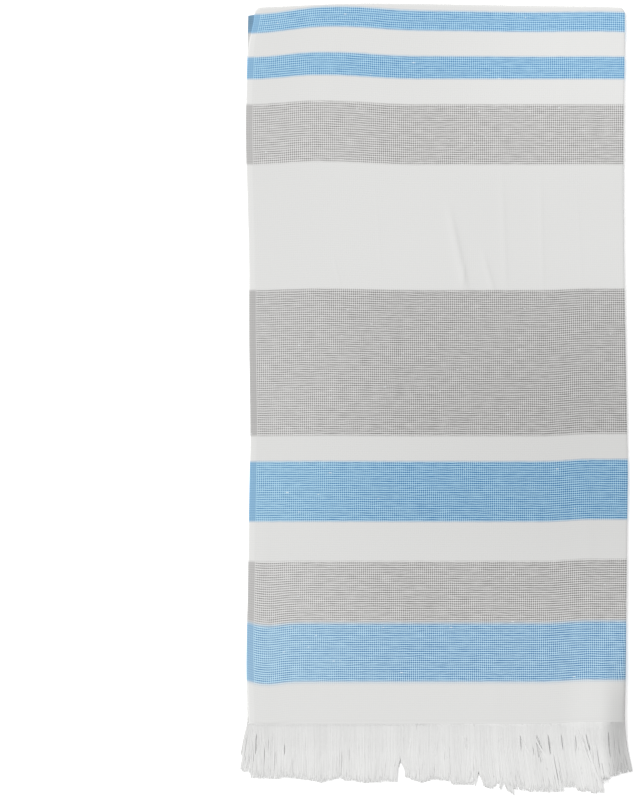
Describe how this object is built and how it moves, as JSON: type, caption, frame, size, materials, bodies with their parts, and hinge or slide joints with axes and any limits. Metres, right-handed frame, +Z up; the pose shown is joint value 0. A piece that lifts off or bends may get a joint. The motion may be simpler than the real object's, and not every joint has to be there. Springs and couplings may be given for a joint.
{
  "type": "folded towel",
  "caption": "Flat-woven cotton towel with weft stripes and fringed ends, folded in half lengthwise and across, lying flat.",
  "frame": {"origin": "middle of the folded towel's outline, fringe included, on the surface it lies on", "axes": "+Y from the fringe towards the cross fold, +X from the side hems towards the lengthwise fold, +Z up out of the face that shows"},
  "size_m": [0.4672, 0.9454, 0.0127],
  "materials": {
    "striped_cloth": "matt flat-woven cotton, white ground with blue and grey weft stripes",
    "fringe_yarn": "matt loose cotton yarn, white"
  },
  "bodies": {
    "root": {"cloth": "striped_cloth", "upper_fringe": "fringe_yarn", "lower_fringe": "fringe_yarn"}
  },
  "joints": []
}
